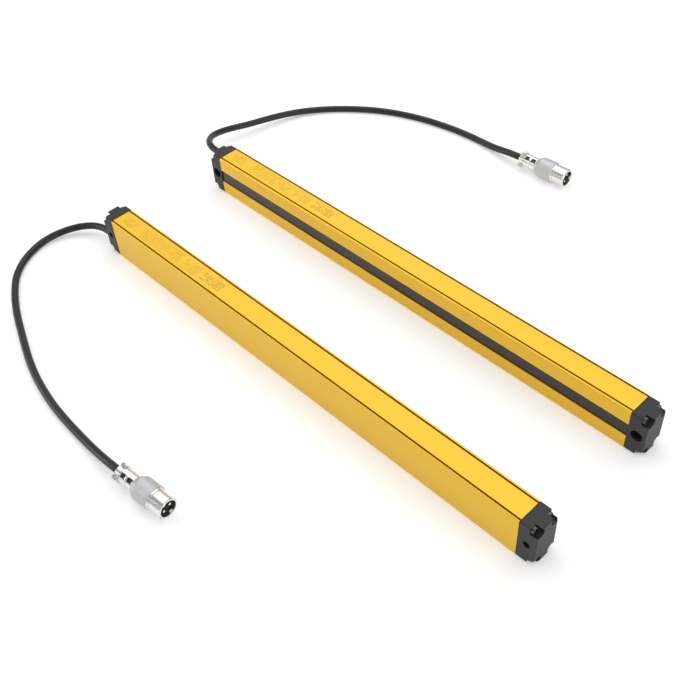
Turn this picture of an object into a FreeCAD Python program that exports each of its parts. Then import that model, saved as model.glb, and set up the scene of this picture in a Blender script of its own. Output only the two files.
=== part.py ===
"""Safety light curtain: an emitter bar and a receiver bar, each with its cable and cable plug.

FreeCAD 1.1 macro, millimetres. +Z up, +X along the bars away from the cables. The origin is on the
surface the bars lie on, in the middle of the pair. The emitter is on the -Y side, the receiver on
the +Y side, and their windows face each other across the protected field.

Each bar is modelled once in its own frame: X along the bar, +Y out of the window, origin in the
middle of its section. Each plug is modelled in a frame with +X towards its mating face and the
origin where the cable enters. The receiver is the same bar turned half a turn about X.
"""
import FreeCAD, Part
import Sketcher
import math
import os

# Driving sizes: (alias, value, what it is). All lengths in millimetres, angles in degrees.
SIZES = [
    ("bar_length", 425.0, "aluminium profile, end to end"),
    ("bar_width", 21.0, "profile across, window face to back"),
    ("bar_height", 36.5, "profile height"),
    ("bar_corner", 1.2, "rounding of the profile's long edges"),
    ("bar_wall", 1.8, "profile wall"),
    ("field_width", 95.0, "between the two window faces"),
    ("groove_width", 1.0, "clip groove, width"),
    ("groove_depth", 1.6, "clip groove, depth"),
    ("groove_front", 2.3, "window face to the middle of the front clip groove"),
    ("groove_back", 1.4, "back face to the middle of the rear clip groove"),
    ("slide_fit", 0.1, "clearance of what slides into the profile"),
    ("port_inset", 3.4, "screw axis to the two nearest outer faces"),
    ("port_bore", 2.5, "screw port bore, the core of the self-tapping screw"),
    ("port_wall", 1.5, "wall round a screw port"),
    ("window_opening", 11.7, "slot that the window looks through"),
    ("window_recess", 1.0, "window surface behind the profile face"),
    ("window_gap", 0.8, "gap above and below the window's raised middle"),
    ("window_foot", 1.3, "how far the window's foot reaches behind the lip"),
    ("window_base", 1.6, "thickness of the window's foot"),
    ("seal_depth", 0.5, "window seal, front to back"),
    ("rail_wall", 1.2, "rails inside the profile"),
    ("rail_hook", 1.0, "thickness of the rails' hooks"),
    ("rail_reach", 1.1, "how far a hook reaches past its rail"),
    ("holder_depth", 3.7, "lens holder, front to back"),
    ("end_space", 8.0, "profile end to the board and the lens holder"),
    ("beam_count", 10, "beams"),
    ("beam_end", 32.5, "profile end to the nearest beam"),
    ("lens_bore", 9.0, "lens diameter"),
    ("lens_edge", 1.6, "lens thickness at the rim"),
    ("lens_crown", 0.6, "height of the lens's convex side"),
    ("light_bore", 6.4, "square shaft behind each lens, across flats"),
    ("board_thick", 1.6, "circuit board"),
    ("board_front", 1.8, "section middle to the board's front side, towards the back"),
    ("board_rib", 1.85, "how far the board's ribs stand off the wall"),
    ("element_base", 4.4, "optical element, square package"),
    ("element_base_high", 1.4, "optical element, height of the package"),
    ("element_top", 3.0, "optical element, square window on the package"),
    ("element_top_high", 0.5, "optical element, height of the window"),
    ("chip_size", 10.0, "control chips, square"),
    ("chip_thick", 1.2, "control chips, thickness"),
    ("chip_spread", 106.0, "middle chip to the outer ones"),
    ("header_gap", 1.7, "board's end to the wire header"),
    ("header_length", 8.0, "wire header along the bar"),
    ("header_clear", 0.3, "wire header to the profile's back wall"),
    ("header_height", 9.0, "wire header, height"),
    ("wire_size", 1.1, "insulated wires"),
    ("wire_pitch", 1.2, "wire to wire"),
    ("gasket_thick", 0.6, "end gasket"),
    ("gasket_inset", 0.5, "gasket edge inside the profile's outline"),
    ("gasket_rim", 2.8, "gasket width round the opening"),
    ("cap_length", 13.4, "moulded end cap"),
    ("cap_flange", 7.7, "full-section flange of the end cap"),
    ("cap_pocket", 7.6, "screw pocket in each corner of the cap"),
    ("cap_chamfer", 1.0, "chamfer of the cap's end face"),
    ("tongue_length", 3.0, "locating tongue on the cap's inner side"),
    ("tongue_thick", 2.8, "locating tongue, thickness"),
    ("tongue_height", 14.0, "locating tongue, height"),
    ("mount_offset", 6.4, "cap's joint face to the mounting hole"),
    ("mount_hole", 5.3, "clearance hole for an M5 screw"),
    ("mount_head", 9.0, "counterbore for the screw head, window side"),
    ("mount_head_depth", 5.4, "depth of the counterbore"),
    ("screw_clear", 3.2, "screw clearance hole in flange and gasket"),
    ("screw_head", 5.6, "pan head, diameter"),
    ("screw_head_high", 2.0, "pan head, height"),
    ("screw_reach", 10.0, "screw length beyond the gasket"),
    ("screw_slot", 0.9, "cross recess, width"),
    ("screw_slot_long", 3.2, "cross recess, length"),
    ("screw_slot_deep", 1.0, "cross recess, depth"),
    ("cable_size", 6.0, "cable, outer diameter"),
    ("cable_back", 4.6, "cable axis behind the section middle"),
    ("cable_drop", 7.4, "cable axis off the section middle, along the height"),
    ("cable_tail", 3.5, "sheath beyond the joint face, inside the profile"),
    ("grommet_wall", 0.5, "grommet sleeve inside the cap"),
    ("grommet_length", 4.0, "grommet outside the cap"),
    ("grommet_root", 7.8, "grommet, diameter at the cap"),
    ("grommet_tip", 7.0, "grommet, diameter at its tip"),
    ("plug_length", 48.0, "plug, cable entry to mating face"),
    ("plug_height", 9.2, "plug axis above the surface"),
    ("clamp_length", 4.2, "cable clamp along the plug"),
    ("clamp_width", 13.2, "cable clamp across the screws"),
    ("clamp_round", 12.4, "cable clamp, diameter of its rounded sides"),
    ("clamp_split", 0.6, "gap between the clamp's halves"),
    ("clamp_screw", 2.0, "clamp screw, shank"),
    ("clamp_head", 3.4, "clamp screw, head diameter"),
    ("clamp_head_high", 1.2, "clamp screw, head height"),
    ("clamp_pitch", 9.6, "between the clamp screws"),
    ("clamp_flat", 9.6, "flat to flat under the screw heads"),
    ("sleeve_size", 12.0, "rear sleeve, outer diameter"),
    ("sleeve_bore", 9.4, "rear sleeve, bore"),
    ("sleeve_end", 22.0, "rear sleeve's inner end, from the cable entry"),
    ("sleeve_ring", 12.6, "raised ring of the sleeve"),
    ("sleeve_ring_long", 1.3, "raised ring of the sleeve, length"),
    ("sleeve_slot", 5.0, "sleeve window, width"),
    ("sleeve_margin", 0.8, "metal left at each end of a sleeve window"),
    ("barrel_start", 17.2, "barrel's rear end, from the cable entry"),
    ("barrel_cone", 4.3, "barrel's conical shoulder"),
    ("barrel_neck", 13.4, "barrel's rear diameter"),
    ("barrel_size", 18.4, "barrel, diameter"),
    ("barrel_end", 35.4, "barrel's front end, from the cable entry"),
    ("barrel_edge", 0.6, "bevel of the barrel's front end"),
    ("nose_start", 24.0, "nose shell's inner end, from the cable entry"),
    ("nose_size", 16.0, "nose shell, diameter"),
    ("nose_bore", 12.9, "nose shell, bore"),
    ("nose_ring", 17.2, "ring at the nose's root"),
    ("nose_ring_long", 1.6, "ring at the nose's root, length"),
    ("nose_edge", 0.5, "bevel of the nose's mouth, outside"),
    ("nose_slot", 3.0, "outside keyway, width"),
    ("nose_slot_deep", 0.8, "outside keyway, depth"),
    ("nose_slot_long", 8.5, "outside keyway, length"),
    ("key_width", 2.6, "key inside the nose, width"),
    ("key_high", 2.0, "key inside the nose, height"),
    ("key_setback", 0.8, "key's front end behind the mating face"),
    ("insert_face", 8.0, "insulator's face behind the mating face"),
    ("insert_long", 9.0, "insulator, length"),
    ("pin_size", 1.9, "contact pin, diameter"),
    ("pin_pitch", 6.0, "between the two pins"),
    ("pin_setback", 1.4, "pin tips behind the mating face"),
    ("pin_tail", 3.0, "pin behind the insulator"),
    ("plug_sheath", 14.0, "cable sheath inside the plug"),
    ("emitter_heading", 5.0, "emitter plug, degrees from +X towards +Y"),
    ("receiver_heading", 2.1, "receiver plug, degrees from +X towards +Y"),
    ("emitter_roll", 20.0, "emitter plug, roll about its own axis"),
    ("receiver_roll", 66.0, "receiver plug, roll about its own axis"),
]

# The cables' routes, from the grommet's tip to the plug, in the row frame. Each leaves the cap
# squarely, comes down to the surface, lies on it, and rises to the plug in line with its axis.
EMITTER_ROUTE = [
    (-230.5, -62.6, 10.85), (-239.5, -62.6, 10.85), (-251.0, -65.3, 9.4), (-262.6, -72.8, 7.0),
    (-271.1, -85.4, 5.0), (-274.8, -101.5, 3.7), (-272.5, -115.5, 3.0), (-266.0, -130.0, 3.0),
    (-256.5, -142.3, 3.0), (-245.3, -151.8, 3.0), (-221.5, -166.0, 3.0), (-190.0, -179.3, 3.0),
    (-151.0, -194.5, 3.0), (-114.0, -202.5, 3.0), (-87.0, -204.9, 3.0), (-68.0, -205.6, 3.0),
    (-50.0, -206.3, 4.3), (-28.23, -207.12, 9.2), (-16.28, -206.07, 9.2),
]
RECEIVER_ROUTE = [
    (-230.5, 62.6, 25.65), (-240.2, 62.6, 25.65), (-249.9, 65.2, 24.5), (-260.3, 71.3, 22.0),
    (-270.3, 83.8, 17.4), (-273.9, 103.4, 11.8), (-267.5, 124.0, 9.5), (-263.5, 145.0, 7.2),
    (-256.0, 169.5, 4.9), (-243.0, 192.5, 3.0), (-219.5, 214.7, 3.0), (-191.0, 233.8, 3.0),
    (-157.0, 247.0, 3.0), (-125.0, 253.3, 3.0), (-105.0, 255.2, 3.0), (-88.0, 255.7, 3.0),
    (-70.5, 254.3, 4.3), (-49.79, 252.37, 9.2), (-37.8, 252.81, 9.2),
]

doc = FreeCAD.newDocument("SafetyLightCurtain")
sheet = doc.addObject("Spreadsheet::Sheet", "Sizes")
for row, (alias, value, meaning) in enumerate(SIZES, start=1):
    sheet.set(f"A{row}", meaning)
    sheet.set(f"B{row}", str(value))
    sheet.setAlias(f"B{row}", alias)
doc.recompute()

NODES = []          # every object that is written out, in order

# Expressions that several pieces share, all in the bar's frame.
HALF_LENGTH = "Sizes.bar_length / 2"
HALF_WIDTH = "Sizes.bar_width / 2"
HALF_HEIGHT = "Sizes.bar_height / 2"
INNER_WIDTH = "(Sizes.bar_width / 2 - Sizes.bar_wall)"
INNER_HEIGHT = "(Sizes.bar_height / 2 - Sizes.bar_wall)"
PORT_Y = "(Sizes.bar_width / 2 - Sizes.port_inset)"
PORT_Z = "(Sizes.bar_height / 2 - Sizes.port_inset)"
HALF_OPENING = "Sizes.window_opening / 2"
RAIL_INNER = "(Sizes.window_opening / 2 + Sizes.window_foot + Sizes.slide_fit)"
RAIL_OUTER = f"({RAIL_INNER} + Sizes.rail_wall)"
WINDOW_BACK = f"({INNER_WIDTH} - Sizes.window_base)"
LEDGE_FRONT = f"({WINDOW_BACK} - Sizes.slide_fit)"
LEDGE_BACK = f"({LEDGE_FRONT} - Sizes.rail_hook)"
HOLDER_BACK = f"({LEDGE_BACK} - Sizes.holder_depth)"
HOOK_FRONT = f"({HOLDER_BACK} - Sizes.slide_fit)"
HOOK_BACK = f"({HOOK_FRONT} - Sizes.rail_hook)"
HOOK_EDGE = f"({RAIL_INNER} - Sizes.rail_reach)"
BOARD_FRONT = "(-Sizes.board_front)"
BOARD_BACK = "(-Sizes.board_front - Sizes.board_thick)"
CABLE_BORE = "(Sizes.cable_size + 2 * Sizes.grommet_wall)"
CORNERS = [(1, 1), (-1, 1), (-1, -1), (1, -1)]


def size(alias):
    """Value of one cell of the sheet."""
    return float(sheet.get(alias))


# ---------------------------------------------------------------- helpers: bodies and sketches

def new_body(label):
    """Start one sub-part as a PartDesign body and list it among the nodes."""
    body = doc.addObject("PartDesign::Body", label)
    body.Label = label
    NODES.append(body)
    return body


def new_sketch(body, name, plane_role, offset="0"):
    """Sketch on one of the body's own origin planes, moved along the plane's normal by offset."""
    plane = [item for item in body.Origin.OriginFeatures if item.Role == plane_role][0]
    sketch = body.newObject("Sketcher::SketchObject", name)
    sketch.AttachmentSupport = [(plane, "")]
    sketch.MapMode = "FlatFace"
    sketch.setExpression("AttachmentOffset.Base.z", offset)
    return sketch


def pin_point(sketch, geometry, point, x, y):
    """Fix a point of a sketch with two distances from the sketch's origin, bound to expressions."""
    for kind, text in (("DistanceX", x), ("DistanceY", y)):
        value = float(sketch.evalExpression(text))
        index = sketch.addConstraint(Sketcher.Constraint(kind, -1, 1, geometry, point, value))
        sketch.setExpression(f"Constraints[{index}]", text)


def add_outline(sketch, points):
    """Closed polygon through (expression, expression) points."""
    corners = [
        FreeCAD.Vector(sketch.evalExpression(x), sketch.evalExpression(y), 0) for x, y in points
    ]
    lines = [
        sketch.addGeometry(Part.LineSegment(corner, corners[(i + 1) % len(corners)]), False)
        for i, corner in enumerate(corners)
    ]
    for i, line in enumerate(lines):
        following = lines[(i + 1) % len(lines)]
        sketch.addConstraint(Sketcher.Constraint("Coincident", line, 2, following, 1))
    for line, (x, y) in zip(lines, points):
        pin_point(sketch, line, 1, x, y)


def add_rectangle(sketch, left, bottom, right, top):
    """Rectangle between two pairs of expressions."""
    add_outline(sketch, [(left, bottom), (right, bottom), (right, top), (left, top)])


def add_square(sketch, x, y, across):
    """Square of a given width at an (expression, expression) centre."""
    half = f"({across}) / 2"
    add_rectangle(sketch, f"{x} - {half}", f"{y} - {half}", f"{x} + {half}", f"{y} + {half}")


def add_circle(sketch, x, y, diameter):
    """Circle at an (expression, expression) centre."""
    centre = FreeCAD.Vector(sketch.evalExpression(x), sketch.evalExpression(y), 0)
    radius = sketch.evalExpression(diameter) / 2
    circle = sketch.addGeometry(Part.Circle(centre, FreeCAD.Vector(0, 0, 1), radius), False)
    pin_point(sketch, circle, 3, x, y)
    index = sketch.addConstraint(Sketcher.Constraint("Diameter", circle, 2 * radius))
    sketch.setExpression(f"Constraints[{index}]", diameter)


def pad(body, name, sketch, length, reverse=False):
    """Pad a sketch along its normal by an expression."""
    feature = body.newObject("PartDesign::Pad", name)
    feature.Profile = sketch
    feature.Reversed = reverse
    feature.setExpression("Length", length)
    doc.recompute()
    return feature


def pocket(body, name, sketch, length, along_normal=True):
    """Cut a sketch out of the body by an expression, along its normal or against it."""
    before = body.Shape.Volume
    feature = body.newObject("PartDesign::Pocket", name)
    feature.Profile = sketch
    feature.Reversed = along_normal
    feature.setExpression("Length", length)
    doc.recompute()
    if body.Shape.Volume >= before:
        raise ValueError(f"{body.Label}: {name} cuts nothing")
    return feature


def revolve(body, name, sketch):
    """Turn a sketch on the XY plane a full turn about the body's X axis."""
    feature = body.newObject("PartDesign::Revolution", name)
    feature.Profile = sketch
    feature.ReferenceAxis = (sketch, ["H_Axis"])
    feature.Angle = 360
    doc.recompute()
    return feature


def dress(body, name, kind, feature, chosen, expression):
    """Fillet or chamfer those edges of a feature that chosen(edge) picks."""
    names = [f"Edge{i}" for i, edge in enumerate(feature.Shape.Edges, start=1) if chosen(edge)]
    result = body.newObject(f"PartDesign::{kind}", name)
    result.Base = (feature, names)
    result.setExpression("Radius" if kind == "Fillet" else "Size", expression)
    doc.recompute()
    return result


def lies_at(edge, axis, place):
    """True for an edge that lies wholly in the plane at place on one axis of the body."""
    box = edge.BoundBox
    low, high = getattr(box, f"{axis}Min"), getattr(box, f"{axis}Max")
    return abs(low - place) < 1e-6 and abs(high - place) < 1e-6


def runs_along_x(edge):
    """True for a straight edge parallel to X."""
    box = edge.BoundBox
    return box.YLength < 1e-6 and box.ZLength < 1e-6


# ---------------------------------------------------------------- the bar's pieces

def make_profile(label):
    """Extruded aluminium housing, one cross-section over its whole length.

    The section is a rounded box with clip grooves near its corners, four screw ports, a slot for
    the window, and a pair of rails with hooks that hold the window and the lens holder as they
    slide in. Two pairs of ribs make the slots for the circuit board.
    """
    body = new_body(label)
    start = f"-{HALF_LENGTH}"

    outline = new_sketch(body, "Outline", "YZ_Plane", start)
    add_rectangle(outline, f"-{HALF_WIDTH}", f"-{HALF_HEIGHT}", HALF_WIDTH, HALF_HEIGHT)
    block = pad(body, "Block", outline, "Sizes.bar_length")
    dress(body, "LongEdges", "Fillet", block, runs_along_x, "Sizes.bar_corner")

    hollow = new_sketch(body, "Hollow", "YZ_Plane", start)
    add_rectangle(hollow, f"-{INNER_WIDTH}", f"-{INNER_HEIGHT}", INNER_WIDTH, INNER_HEIGHT)
    pocket(body, "Cavity", hollow, "Sizes.bar_length")

    # Rails, hooks and ribs grow from the middle of the wall that carries them.
    wall_middle_y = f"({HALF_WIDTH} - Sizes.bar_wall / 2)"
    wall_middle_z = f"({HALF_HEIGHT} - Sizes.bar_wall / 2)"
    rib_edge = f"({INNER_HEIGHT} - Sizes.board_rib)"
    front_rib = f"({BOARD_FRONT} + Sizes.slide_fit)"
    back_rib = f"({BOARD_BACK} - Sizes.slide_fit)"
    ribs = [(front_rib, f"{front_rib} + Sizes.rail_hook"), (f"{back_rib} - Sizes.rail_hook", back_rib)]
    for side, name in ((1, "Upper"), (-1, "Lower")):
        rails = new_sketch(body, f"{name}Rails", "YZ_Plane", start)
        add_outline(rails, [
            (wall_middle_y, f"{side} * {RAIL_OUTER}"),
            (HOOK_BACK, f"{side} * {RAIL_OUTER}"),
            (HOOK_BACK, f"{side} * {HOOK_EDGE}"),
            (HOOK_FRONT, f"{side} * {HOOK_EDGE}"),
            (HOOK_FRONT, f"{side} * {RAIL_INNER}"),
            (LEDGE_BACK, f"{side} * {RAIL_INNER}"),
            (LEDGE_BACK, f"{side} * {HOOK_EDGE}"),
            (LEDGE_FRONT, f"{side} * {HOOK_EDGE}"),
            (LEDGE_FRONT, f"{side} * {RAIL_INNER}"),
            (wall_middle_y, f"{side} * {RAIL_INNER}"),
        ])
        for low, high in ribs:
            add_rectangle(rails, low, f"{side} * {rib_edge}", high, f"{side} * {wall_middle_z}")
        pad(body, f"{name}RailPad", rails, "Sizes.bar_length")

    bosses = new_sketch(body, "PortBosses", "YZ_Plane", start)
    for y_side, z_side in CORNERS:
        boss = "Sizes.port_bore + 2 * Sizes.port_wall"
        add_circle(bosses, f"{y_side} * {PORT_Y}", f"{z_side} * {PORT_Z}", boss)
    pad(body, "PortBossPad", bosses, "Sizes.bar_length")

    openings = new_sketch(body, "WindowSlot", "YZ_Plane", start)
    past_face = f"({HALF_WIDTH} + Sizes.bar_wall)"
    add_rectangle(openings, INNER_WIDTH, f"-{HALF_OPENING}", past_face, HALF_OPENING)
    pocket(body, "WindowCut", openings, "Sizes.bar_length")

    ports = new_sketch(body, "ScrewPorts", "YZ_Plane", start)
    for y_side, z_side in CORNERS:
        add_circle(ports, f"{y_side} * {PORT_Y}", f"{z_side} * {PORT_Z}", "Sizes.port_bore")
    pocket(body, "PortCut", ports, "Sizes.bar_length")

    grooves = new_sketch(body, "ClipGrooves", "YZ_Plane", start)
    middles = (f"({HALF_WIDTH} - Sizes.groove_front)", f"(Sizes.groove_back - {HALF_WIDTH})")
    half_groove = "Sizes.groove_width / 2"
    for side in (1, -1):
        floor = f"{side} * ({HALF_HEIGHT} - Sizes.groove_depth)"
        above = f"{side} * ({HALF_HEIGHT} + Sizes.groove_depth)"
        for middle in middles:
            add_rectangle(grooves, f"{middle} - {half_groove}", floor, f"{middle} + {half_groove}", above)
    pocket(body, "GrooveCut", grooves, "Sizes.bar_length")
    return body


def make_window(label):
    """Dark front window: a strip whose foot slides in behind the profile's lips."""
    body = new_body(label)
    foot = f"({HALF_OPENING} + Sizes.window_foot)"
    face = f"({HALF_WIDTH} - Sizes.window_recess)"
    middle = f"({HALF_OPENING} - Sizes.window_gap)"
    section = new_sketch(body, "Section", "YZ_Plane", f"-{HALF_LENGTH}")
    add_outline(section, [
        (WINDOW_BACK, f"-{foot}"), (INNER_WIDTH, f"-{foot}"), (INNER_WIDTH, f"-{middle}"),
        (face, f"-{middle}"), (face, middle), (INNER_WIDTH, middle),
        (INNER_WIDTH, foot), (WINDOW_BACK, foot),
    ])
    pad(body, "Strip", section, "Sizes.bar_length")
    return body


def make_window_seals(label):
    """Two rubber strips in the gaps above and below the window."""
    body = new_body(label)
    section = new_sketch(body, "Section", "YZ_Plane", f"-{HALF_LENGTH}")
    for side in (1, -1):
        add_rectangle(
            section, INNER_WIDTH, f"{side} * ({HALF_OPENING} - Sizes.window_gap)",
            f"({INNER_WIDTH} + Sizes.seal_depth)", f"{side} * {HALF_OPENING}",
        )
    pad(body, "Strips", section, "Sizes.bar_length")
    return body


def beam_positions():
    """X of each beam as an expression, evenly spread between the two end beams."""
    count = int(size("beam_count"))
    reach = f"({HALF_LENGTH} - Sizes.beam_end)"
    return [f"{2 * i - (count - 1)} / (Sizes.beam_count - 1) * {reach}" for i in range(count)]


def make_lens_holder(label):
    """Black strip between the rails with a round seat and a square shaft for each lens."""
    body = new_body(label)
    half = f"({RAIL_INNER} - Sizes.slide_fit)"
    section = new_sketch(body, "Section", "YZ_Plane", f"Sizes.end_space - {HALF_LENGTH}")
    add_rectangle(section, HOLDER_BACK, f"-{half}", LEDGE_BACK, half)
    pad(body, "Strip", section, "Sizes.bar_length - 2 * Sizes.end_space")
    # The XZ plane's normal points towards -Y.
    seats = new_sketch(body, "LensSeats", "XZ_Plane", f"-{LEDGE_BACK}")
    lights = new_sketch(body, "LightBores", "XZ_Plane", f"-{LEDGE_BACK}")
    for x in beam_positions():
        add_circle(seats, x, "0", "Sizes.lens_bore")
        add_square(lights, x, "0", "Sizes.light_bore")
    pocket(body, "LensSeatCut", seats, "Sizes.lens_edge + Sizes.lens_crown")
    pocket(body, "LightCut", lights, "Sizes.holder_depth")
    return body


def make_lenses(label):
    """Plano-convex lenses, flat side flush with the holder's front, one for each beam."""
    radius = size("lens_bore") / 2
    crown = size("lens_crown")
    sphere = (radius ** 2 + crown ** 2) / (2 * crown)
    backwards = FreeCAD.Vector(0, -1, 0)
    rim_end = FreeCAD.Vector(0, -size("lens_edge"), 0)
    front = Part.makeCylinder(radius, size("lens_edge"), FreeCAD.Vector(), backwards)
    ball = Part.makeSphere(sphere, FreeCAD.Vector(0, sphere - size("lens_edge") - crown, 0))
    bounds = Part.makeCylinder(radius, crown, rim_end, backwards)
    lens = front.fuse(ball.common(bounds)).removeSplitter()
    node = doc.addObject("Part::Feature", label)
    seat_y = node.evalExpression(LEDGE_BACK)
    spots = [FreeCAD.Vector(node.evalExpression(x), seat_y, 0) for x in beam_positions()]
    node.Shape = Part.makeCompound([lens.translated(spot) for spot in spots])
    node.Label = label
    NODES.append(node)
    return node


def make_board(label):
    """Circuit board that slides between the ribs, upright behind the lenses."""
    body = new_body(label)
    half = f"({INNER_HEIGHT} - Sizes.slide_fit)"
    section = new_sketch(body, "Section", "YZ_Plane", f"Sizes.end_space - {HALF_LENGTH}")
    add_rectangle(section, BOARD_BACK, f"-{half}", BOARD_FRONT, half)
    pad(body, "Board", section, "Sizes.bar_length - 2 * Sizes.end_space")
    return body


def make_optics(label):
    """Optical elements on the board, one behind each lens: a square package with a window."""
    body = new_body(label)
    # The XZ plane's normal points towards -Y, so the pads are reversed to grow towards the window.
    bases = new_sketch(body, "Bases", "XZ_Plane", f"-{BOARD_FRONT}")
    tops = new_sketch(body, "Tops", "XZ_Plane", f"-{BOARD_FRONT}")
    for x in beam_positions():
        add_square(bases, x, "0", "Sizes.element_base")
        add_square(tops, x, "0", "Sizes.element_top")
    pad(body, "Packages", bases, "Sizes.element_base_high", reverse=True)
    pad(body, "Windows", tops, "Sizes.element_base_high + Sizes.element_top_high", reverse=True)
    return body


def make_chips(label):
    """Control chips on the back of the board."""
    body = new_body(label)
    places = new_sketch(body, "Places", "XZ_Plane", f"-{BOARD_BACK}")
    for x in ("-Sizes.chip_spread", "0", "Sizes.chip_spread"):
        add_square(places, x, "0", "Sizes.chip_size")
    pad(body, "Chips", places, "Sizes.chip_thick")
    return body


def make_header(label):
    """Header on the back of the board where the cable's wires are plugged in."""
    body = new_body(label)
    near = f"(Sizes.end_space + Sizes.header_gap - {HALF_LENGTH})"
    seat = new_sketch(body, "Seat", "XZ_Plane", f"-{BOARD_BACK}")
    half = "Sizes.header_height / 2"
    low, high = f"-Sizes.cable_drop - {half}", f"-Sizes.cable_drop + {half}"
    add_rectangle(seat, near, low, f"{near} + Sizes.header_length", high)
    pad(body, "Header", seat, f"{INNER_WIDTH} + {BOARD_BACK} - Sizes.header_clear")
    return body


def make_wires(label):
    """Four wires from the end of the cable's sheath to the header."""
    body = new_body(label)
    sheath_end = f"(Sizes.cable_tail - {HALF_LENGTH})"
    ends = new_sketch(body, "Ends", "YZ_Plane", sheath_end)
    for step in (-1.5, -0.5, 0.5, 1.5):
        wire_z = f"{step} * Sizes.wire_pitch - Sizes.cable_drop"
        add_circle(ends, "-Sizes.cable_back", wire_z, "Sizes.wire_size")
    pad(body, "Wires", ends, "Sizes.end_space + Sizes.header_gap - Sizes.cable_tail")
    return body


def make_cable_entry(label):
    """The cable's own end, from the grommet's tip through the cap into the profile."""
    body = new_body(label)
    joint = "(Sizes.gasket_thick + Sizes.cap_length + Sizes.grommet_length)"
    end = new_sketch(body, "End", "YZ_Plane", f"-{HALF_LENGTH} - {joint}")
    add_circle(end, "-Sizes.cable_back", "-Sizes.cable_drop", "Sizes.cable_size")
    pad(body, "Sheath", end, f"{joint} + Sizes.cable_tail")
    return body


def make_grommet(label):
    """Rubber grommet: a sleeve through the cap with a tapered nipple outside."""
    body = new_body(label)
    outer_face = "(-Sizes.gasket_thick - Sizes.cap_length)"
    section = new_sketch(body, "Section", "XY_Plane", "0")
    tip = f"({outer_face} - Sizes.grommet_length)"
    bore = "Sizes.cable_size / 2"
    add_outline(section, [
        (tip, bore), ("-Sizes.gasket_thick", bore),
        ("-Sizes.gasket_thick", f"{CABLE_BORE} / 2"), (outer_face, f"{CABLE_BORE} / 2"),
        (outer_face, "Sizes.grommet_root / 2"), (tip, "Sizes.grommet_tip / 2"),
    ])
    revolve(body, "Turned", section)
    at_bore = FreeCAD.Vector(-size("bar_length") / 2, -size("cable_back"), -size("cable_drop"))
    body.Placement = FreeCAD.Placement(at_bore, FreeCAD.Rotation())
    return body


def make_gasket(label, end):
    """Flat rubber gasket between profile and cap; end is +1 or -1 along X."""
    body = new_body(label)
    start = HALF_LENGTH if end > 0 else f"-{HALF_LENGTH} - Sizes.gasket_thick"
    sheet_y = f"({HALF_WIDTH} - Sizes.gasket_inset)"
    sheet_z = f"({HALF_HEIGHT} - Sizes.gasket_inset)"
    outline = new_sketch(body, "Outline", "YZ_Plane", start)
    add_rectangle(outline, f"-{sheet_y}", f"-{sheet_z}", sheet_y, sheet_z)
    pad(body, "Sheet", outline, "Sizes.gasket_thick")
    # A cross-shaped opening leaves a pad in each corner for the screw.
    wide_y = f"({HALF_WIDTH} - Sizes.gasket_rim)"
    wide_z = f"({HALF_HEIGHT} - Sizes.gasket_rim)"
    slim_y = f"({PORT_Y} - Sizes.port_bore)"
    slim_z = f"({PORT_Z} - Sizes.cap_pocket / 2)"
    opening = new_sketch(body, "Opening", "YZ_Plane", start)
    add_outline(opening, [
        (f"-{slim_y}", f"-{wide_z}"), (slim_y, f"-{wide_z}"), (slim_y, f"-{slim_z}"),
        (wide_y, f"-{slim_z}"), (wide_y, slim_z), (slim_y, slim_z),
        (slim_y, wide_z), (f"-{slim_y}", wide_z), (f"-{slim_y}", slim_z),
        (f"-{wide_y}", slim_z), (f"-{wide_y}", f"-{slim_z}"), (f"-{slim_y}", f"-{slim_z}"),
    ])
    pocket(body, "OpeningCut", opening, "Sizes.gasket_thick")
    holes = new_sketch(body, "ScrewHoles", "YZ_Plane", start)
    for y_side, z_side in CORNERS:
        add_circle(holes, f"{y_side} * {PORT_Y}", f"{z_side} * {PORT_Z}", "Sizes.screw_clear")
    pocket(body, "ScrewHoleCut", holes, "Sizes.gasket_thick")
    return body


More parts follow.
